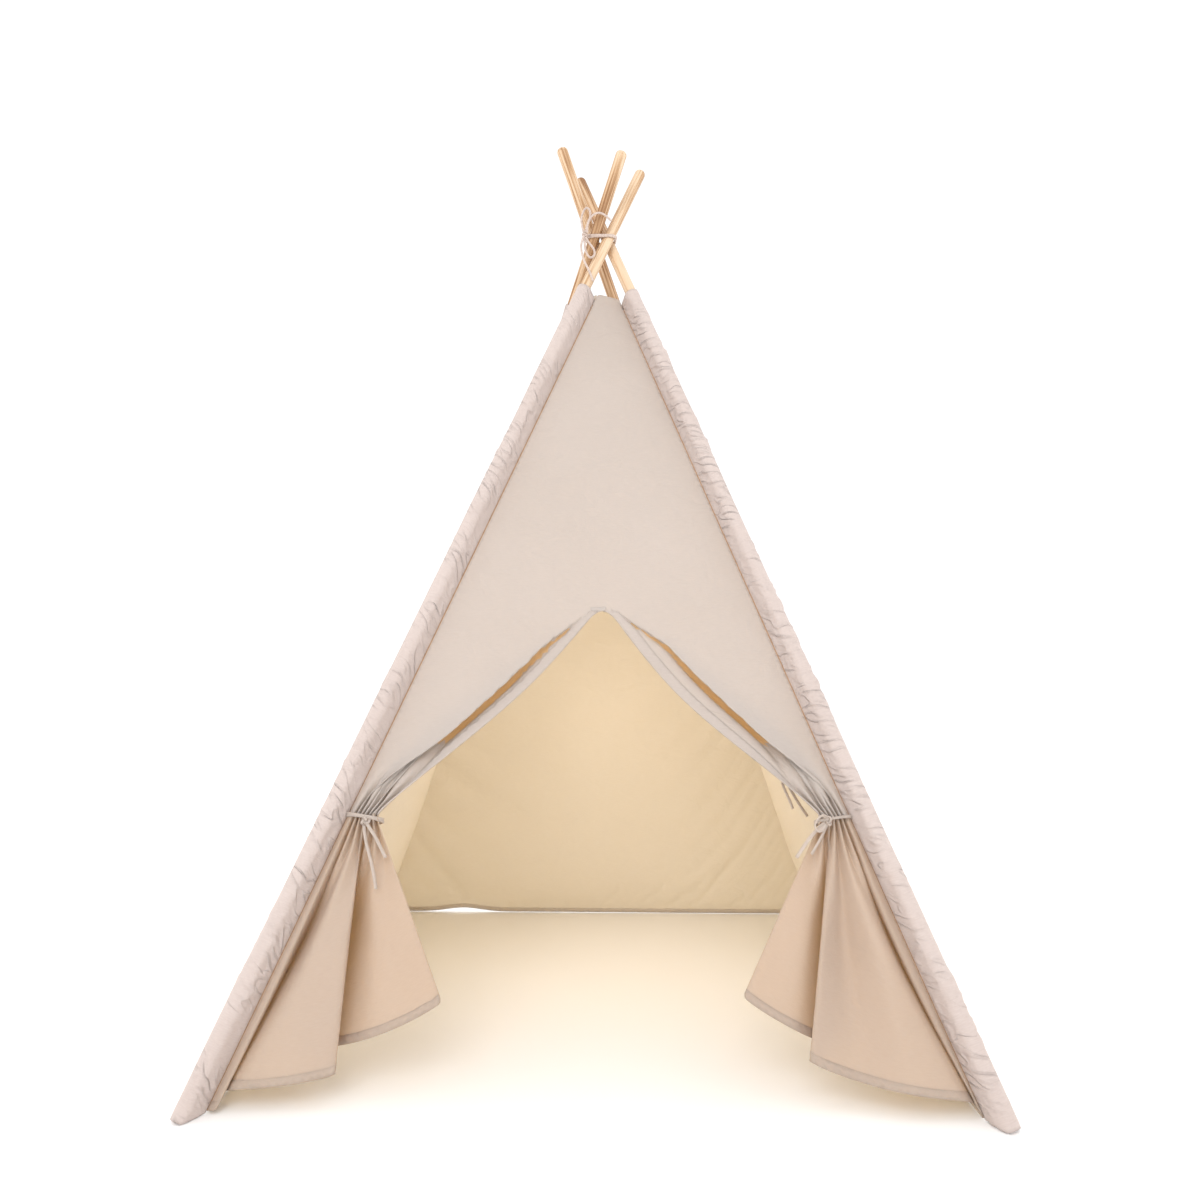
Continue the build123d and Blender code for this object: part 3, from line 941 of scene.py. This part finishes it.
def bunch_point(side, share, folded=1.0):
    """Where a share of the flap's width is inside the tie: folded in layers, or evenly spread."""
    near, far, depth, layers = BUNCH["near"], BUNCH["far"], BUNCH["depth"], BUNCH["layers"]
    corners = [(0.0, 0.0)]
    for i in range(layers + 1):
        corners.append((near + (far - near) * i / layers, depth if i % 2 == 0 else -depth))
    x, y = along_folds(corners, share, 0.01)
    even_x = far * share
    x, y = even_x + (x - even_x) * folded, y * folded
    seam = seam_point(FLAPS[side]["corner"], TIE_HEIGHT)
    return seam + Vector((-side * x, 0, 0)) + OUTWARD * y


PLEATS = 3  # tucked away behind the fold's edge
SLOT = (6 * MM, 22 * MM)  # width and depth of the gap between the fold and the strip that shows
SLOT_END = 0.62  # how far down towards the tie the gap's cloth gets the painted golden glow and shade


def loose_corners(side, chord, width, share_down):
    """The turning points, (along, out), of the cloth from seam to free edge, above the tie."""
    drawn = max(width - chord, 0.0)
    spread = min(1.0, drawn / (110 * MM))
    shows = FLAPS[side]["shows"] * min(1.0, drawn / (60 * MM))
    shows *= 1 - 0.5 * smoothstep(share_down, 0.5, 1.0)
    slot = SLOT[0] * spread * (1 - 0.8 * smoothstep(share_down, 0.35, 0.7))
    depth = SLOT[1] * spread
    layer = max(0.0, drawn - 1.3 * depth - 30 * MM * spread) / (2 * PLEATS)
    strip = chord - shows
    reach = strip - slot
    corners = [(0, 0), (reach + 5 * MM * spread, 8 * MM * spread)]
    for i in range(PLEATS):
        corners.append((reach - layer - 14 * MM * spread, -(3 + 5 * i) * MM * spread))
        corners.append((reach - 14 * MM * spread, -(5 + 5 * i) * MM * spread))
    turn = (strip - slot * 0.4, -depth)
    return corners + [turn, (strip, -8 * MM * spread), (chord, -7 * MM * spread)]


def in_slot(corners, share):
    """Whether a share of the folded line is in the gap behind the fold's edge, where the cloth gets a painted
    golden glow and shade.
    """
    lengths = legs(corners)
    at = share * sum(lengths)
    return sum(lengths[:-4]) < at < sum(lengths[:-2]) + lengths[-2] * 0.6


def above_tie(side, share_in, on_seam):
    flap = FLAPS[side]
    down = (DOOR_TOP - on_seam) / (DOOR_TOP - TIE_HEIGHT)
    seam = seam_point(flap["corner"], on_seam)
    apex = wall_point("front_wall", 0.5, DOOR_TOP) + Vector((side * BRIDGE_HALF, 0, 0))
    sag = flap["sag"] * (math.sin(math.pi * down) + 0.35 * math.sin(2 * math.pi * down))
    edge = apex.lerp(bunch_point(side, 1.0), down) - Vector((0, 0, sag))
    edge_height = DOOR_TOP - down * (DOOR_TOP - FREE_EDGE_TIED)
    width = (wall_point("front_wall", 0.5, edge_height) - seam).length
    chord = (edge - seam).length
    corners = loose_corners(side, chord, width, down)
    x, y = along_folds(corners, share_in, 0.014)
    loose = seam + (edge - seam).normalized() * x + OUTWARD * y
    gathered = smoothstep(down, 0.5, 1.0) ** 1.5
    tight = bunch_point(side, share_in, smoothstep(down, 0.55, 0.95))
    spread = seam.lerp(edge, share_in) + (tight - bunch_point(side, share_in, 0.0))
    return loose.lerp(spread, gathered), down < SLOT_END and in_slot(corners, share_in)


def deepened(base, valleys, target):
    """A folded line with its valleys pushed inwards until it is `target` metres long."""
    shallow, deep = 0.0, 0.12
    for _ in range(16):
        depth = (shallow + deep) / 2
        corners = [(x, y - OUTWARD.y * depth * (i in valleys)) for i, (x, y) in enumerate(base)]
        if sum(legs(corners)) < target:
            shallow = depth
        else:
            deep = depth
    return corners


def below_tie(side, share_in, on_seam):
    """The flap below the tie: folds run from the bunch to the hem, deeper where it is narrower."""
    flap = FLAPS[side]
    down = 1 - on_seam / TIE_HEIGHT
    foot = seam_point(flap["corner"], front.heights[0])
    hem = [(foot.x, foot.y)] + flap["hem"]
    whole = sum(legs(hem))
    evens = [bunch_point(side, sum(legs(hem[: i + 1])) / whole, 0.0) for i in range(len(hem))]
    base = [(e.x + (x - e.x) * down, e.y + (y - e.y) * down) for e, (x, y) in zip(evens, hem)]
    fine = 1 - smoothstep(down, 0.0, 0.6)
    edge_height = on_seam * FREE_EDGE_TIED / TIE_HEIGHT
    edge = wall_point("front_wall", 0.5, edge_height)
    width = (edge - seam_point(flap["corner"], on_seam)).length
    target = width - fine * (TIED_WIDTH - BUNCH["far"])
    corners = deepened(base, flap["valleys"], target)
    bow = math.sin(math.pi * down)  # 0 at the tie and at the hem
    for i, shift in flap["bows"].items():
        corners[i] = (corners[i][0] - side * shift * bow, corners[i][1])
    x, y = along_folds(corners, share_in, 0.024)
    hem_x, hem_y = along_folds(hem, share_in, 0.028)
    wall_share = share_in / 2 if side < 0 else 1 - share_in / 2
    tied_height = TIE_HEIGHT * (1 - (1 - FREE_EDGE_TIED / TIE_HEIGHT) * share_in)
    flat_tie = wall_point("front_wall", wall_share, tied_height)
    length = (flat_tie - wall_point("front_wall", wall_share, front.heights[0])).length
    even = bunch_point(side, share_in, 0.0)
    drop = math.sqrt(max(length**2 - (hem_x - even.x) ** 2 - (hem_y - even.y) ** 2, 0.0))
    low = max(even.z - drop, foot.z)
    folded = bunch_point(side, share_in) - even
    bulge = OUTWARD * (bow * 9 * MM * math.sin(math.pi * min(1, share_in * 1.6)))
    return Vector((x, y, even.z + (low - even.z) * down)) + folded * fine + bulge, False


def tied_back(sheet):
    """Each vertex's start, how firmly it is held, its gather line, and if it is in the slot, where the cloth gets
    a painted golden glow and shade.
    """
    start, held, on_seams, slots = [], {}, [], []
    for v, (share, height) in enumerate(zip(sheet.shares, sheet.heights)):
        side = 1 if sheet.right_side[v] else -1
        share_in = 2 * (1 - share) if side > 0 else 2 * share
        if height >= DOOR_TOP:
            on_seam, held[v] = height, 0.3
            point, slot = sheet.flat[v], False
        else:
            on_seam = gather_line(share_in, height)
            upper = on_seam >= TIE_HEIGHT
            point, slot = (above_tie if upper else below_tie)(side, share_in, on_seam)
            held[v] = 0.62 if upper else 0.8
        start.append(tuple(point))
        slots.append(slot)
        on_seams.append(on_seam)
        if abs(on_seam - TIE_HEIGHT) < GRID * 0.75 or at_seam(share, height):
            held[v] = 1.0
    return np.array(start), held, np.array(on_seams), np.array(slots)


def at_seam(share, height):
    """Whether a place on a wall is sewn down: at its side seams or its top."""
    return share < 1e-6 or share > 1 - 1e-6 or height > WALL_TOP - GRID / 2


front = Sheet("front_wall", slit_top=DOOR_TOP)
front_start, front_held, front_lines, front_painted_glow = tied_back(front)
front_cloth = drape("front_cloth", front, front_start, front_held, FRONT, 30, bending=3.0, hold=6.0)

face_line = np.array([front_lines[list(f)].mean() for f in front.faces])
face_right = np.array([bool(front.right_side[list(f)].all()) for f in front.faces])
low_door = np.array([front.heights[list(f)].max() for f in front.faces]) <= DOOR_TOP + 1e-6
skirt_faces = low_door & (face_line < TIE_HEIGHT)

def finish_cloth(piece, body, is_hem, hem_lines, hem_cloth):
    """Smooth a draped piece and give it its hem, thickness and stitches."""
    smoothed(piece)
    hem_faces = np.flatnonzero(is_hem(face_uvs(piece))).tolist()
    hem = split_off(piece, piece.name.replace("_canvas", "_hem_canvas"), hem_faces, hem_cloth)
    shell(hem, HEM_THICK)
    sewn = stitches(piece.name.replace("_canvas", "_stitches"), hem_lines, hem, 0.1 * MM)
    shell(piece, CANVAS_THICK)
    for each in (piece, hem, sewn):
        place(each, body)
        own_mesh(each)
    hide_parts(body)
    return [piece, hem, sewn]


def bottom_hem(at):
    return at[:, 1] < HEM_WIDTH


def door_hem(at):
    return (np.abs(at[:, 0]) < 2 * HEM_WIDTH) & (at[:, 1] < DOOR_TOP)


front_points = [v.co.copy() for v in front_cloth.data.vertices]


def row_line(sheet, points, row, side=None):
    """The draped points of one row of a sheet, or of one half of it."""
    left, right = sheet.rows[row]
    halves = {None: left + right[1:], -1: left, 1: right}[side]
    return [points[v] for _, v in halves]


def edge_line(side, low, high, inset=1):
    """The draped points some cells in from the door's free edge, between two heights."""
    line = []
    for left, right in front.rows:
        v = left[-1 - inset][1] if side < 0 else right[inset][1]
        if low <= front.heights[v] <= high and front.heights[left[-1][1]] < DOOR_TOP:
            line.append(front_points[v])
    return line


# Faces in the gap behind the fold's edge get the painted golden glow and shade of the crevice.
face_painted_glow = low_door & np.array([front_painted_glow[list(f)].mean() >= 0.5 for f in front.faces])
upper = split_off(front_cloth, "front_wall_canvas", np.flatnonzero(~skirt_faces).tolist(), FRONT)
upper.data.materials.append(SLOT_PAINTED_GLOW_CLOTH)
for polygon, gets_painted_glow in zip(upper.data.polygons, face_painted_glow[~skirt_faces]):
    polygon.material_index = int(gets_painted_glow)
skirts = {}
for side, name in ((-1, "left_door_flap"), (1, "right_door_flap")):
    faces = np.flatnonzero(skirt_faces & (face_right == (side > 0))).tolist()
    skirts[side] = split_off(front_cloth, f"{name}_canvas", faces, SKIRT)
bpy.data.objects.remove(front_cloth)

door_lines = [edge_line(side, FREE_EDGE_TIED + GRID, DOOR_TOP, 2) for side in (-1, 1)]
upper_pieces = finish_cloth(
    upper, "front_wall", door_hem, door_lines, DOOR_HEM
)
for side, piece in skirts.items():
    body = piece.name[: -len("_canvas")]
    lines = [row_line(front, front_points, 1, side), edge_line(side, 0, FREE_EDGE_TIED - GRID)]
    finish_cloth(piece, body, bottom_hem, lines, HEM)

# ---- side and back walls ----
HEM_LIFT_AT, HEM_LIFT_HALF, HEM_LIFT = -0.33, 0.055, 9 * MM  # where the back wall's hem rises
HEM_LIFT_FADE = 0.25  # height at which nothing is left of that rise


def wall_start(wall, sheet):
    """The flat wall; the back one's hem rises off the floor in one place."""
    start = [Vector(at) for at in sheet.flat]
    if wall == "back_wall":
        for point, height in zip(start, sheet.heights):
            rise = HEM_LIFT * math.exp(-(((point.x - HEM_LIFT_AT) / HEM_LIFT_HALF) ** 2))
            point.z += rise * max(0.0, 1 - height / HEM_LIFT_FADE)
    return np.array([tuple(point) for point in start])


for wall in ("left_wall", "right_wall", "back_wall"):
    sheet = Sheet(wall)
    held = {
        v: 1.0 if at_seam(share, height) else 0.66 if height < 1.5 * GRID else 0.0
        for v, (share, height) in enumerate(zip(sheet.shares, sheet.heights))
    }
    drawn = {"bending": 1.5, "hold": 4.0, "slack": 0.008}
    cloth = drape(f"{wall}_canvas", sheet, wall_start(wall, sheet), held, WALL, 22, **drawn)
    points = [v.co.copy() for v in cloth.data.vertices]
    lines = [row_line(sheet, points, 1)]
    pieces = finish_cloth(cloth, wall, bottom_hem, lines, WALL_HEM)
    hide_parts(f"{wall}_hem")


# ---- ties and the top of the door ----
TIE_CORD = 1.9 * MM  # half the tie's width where it is drawn tight
RING_WIDTH = 0.42  # half the ring's width, in widths of the tape
RING_POINTS = 48
RING_CLEAR = 3.5 * MM  # between the bunched cloth and the ring's middle
RING_SLOPE = 0.16  # down towards the door
TIE_KNOT_SIZE = 12 * MM


def tie_ring(side, turn, rise):
    """The line of the tie round the bunch, from the seam and back to it."""
    seam = seam_point(FLAPS[side]["corner"], TIE_HEIGHT)
    middle = (BUNCH["near"] + BUNCH["far"]) / 2
    line = []
    for k in range(RING_POINTS):
        angle = 2 * math.pi * k / RING_POINTS
        x = middle + (middle + 1 * MM) * math.cos(angle)
        y = (BUNCH["depth"] + RING_CLEAR) * math.sin(angle)
        z = rise - RING_SLOPE * (x - middle) + turn * math.sin(angle) * 1.5 * MM
        line.append(seam + Vector((-side * x, 0, z)) + OUTWARD * y)
    return line


for side, name in ((-1, "left_tie"), (1, "right_tie")):
    pieces = []
    for part, turn, rise in (("ring", 1, -3 * MM), ("second_ring", -1, 1 * MM)):
        line = tie_ring(side, turn, rise)
        width, thick = TAPE_WIDTH * RING_WIDTH, TIE_CORD * 0.6
        pieces.append(tube_mesh(f"{name}_{part}", line, width, thick, TAPE_CLOTH))
    line = trefoil(centre_of(f"{name}_knot"), TIE_KNOT_SIZE, side * 0.6)
    line += line[:3]
    pieces.append(tube_mesh(f"{name}_knot_cord", line, TIE_CORD * 1.15, TIE_CORD * 0.8, TAPE_CLOTH))
    for piece, stands_for in zip(pieces, (f"{name}_loop", None, f"{name}_knot")):
        place(piece, "front_wall", stands_for)
        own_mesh(piece)

PATCH_ROWS, PATCH_COLUMNS = 6, 12
PATCH_HIGH, PATCH_PROUD, PATCH_THICK = 6 * MM, 0.9 * MM, 0.5 * MM
PATCH_NARROWS = 0.18  # towards the slit
patch_low, patch_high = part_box("door_top_patch")
patch_points, patch_uvs, patch_faces = [], [], []
for r in range(PATCH_ROWS + 1):
    up = r / PATCH_ROWS
    height = patch_low.z + PATCH_HIGH * up
    at = wall_point("front_wall", 0.5, height) + OUTWARD * PATCH_PROUD
    for c in range(PATCH_COLUMNS + 1):
        x = patch_low.x + (patch_high.x - patch_low.x) * c / PATCH_COLUMNS
        patch_points.append((x * (1 - PATCH_NARROWS * (1 - up) ** 2), at.y, at.z))
        patch_uvs.append((x, height))
        if r < PATCH_ROWS and c < PATCH_COLUMNS:
            k = r * (PATCH_COLUMNS + 1) + c
            patch_faces.append((k, k + 1, k + PATCH_COLUMNS + 2, k + PATCH_COLUMNS + 1))
patch = mesh_object("door_top_patch_canvas", patch_points, patch_faces, FRONT, patch_uvs)
shell(patch, PATCH_THICK)
place(patch, "front_wall", "door_top_patch")
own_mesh(patch)

# ---- light and floor ----
WORLD_LIGHT = 1.12
GLOW_AT, GLOW_POWER, GLOW_COLOUR = (0.05, 0.0, 0.42), 1.7, (1.0, 0.86, 0.66)
FLOOR_REACH = 12.0

scene.world = bpy.data.worlds.new("studio")
scene.world.use_nodes = True
background = scene.world.node_tree.nodes["Background"]
background.inputs["Color"].default_value = (1, 1, 1, 1)
background.inputs["Strength"].default_value = WORLD_LIGHT


def lamp_object(name, kind, at, power):
    light = bpy.data.lights.new(name, kind)
    light.energy = power
    lamp = bpy.data.objects.new(name, light)
    scene.collection.objects.link(lamp)
    lamp.location = at
    return lamp


def soft_light(name, at, to, size, power):
    lamp = lamp_object(name, "AREA", at, power)
    lamp.data.shape, lamp.data.size = "SQUARE", size
    lamp.rotation_euler = (Vector(to) - Vector(at)).to_track_quat("-Z", "Y").to_euler()


soft_light("key", (-0.5, -3.4, 2.4), (0, 0, 0.6), 2.0, 48)
soft_light("behind", (0, 3.0, 1.3), (0, 0, 0.5), 2.5, 28)
for side, name in ((-1, "side_left"), (1, "side_right")):
    soft_light(name, (side * 3.0, 0.3, 1.2), (0, 0.2, 0.5), 2.0, 20)
inside = lamp_object("inside_glow", "POINT", GLOW_AT, GLOW_POWER)
inside.data.color, inside.data.shadow_soft_size = GLOW_COLOUR, 0.2

floor_material, floor_tree = blank("white_floor")
floor_at = node(floor_tree, "ShaderNodeTexCoord").outputs["Object"]
floor_stops = [(0, grey(0.95)), (1, grey(0.97))]
floor_colour = ramp(floor_tree, noise_at(floor_tree, floor_at, 4), floor_stops)
surface(floor_tree, principled(floor_tree, floor_colour, 0.9))
corners = [(-1, -1), (1, -1), (1, 1), (-1, 1)]
floor_points = [(x * FLOOR_REACH, y * FLOOR_REACH, 0) for x, y in corners]
floor_uvs = [(0, 0), (1, 0), (1, 1), (0, 1)]
floor = mesh_object("floor", floor_points, [(0, 1, 2, 3)], floor_material, floor_uvs)
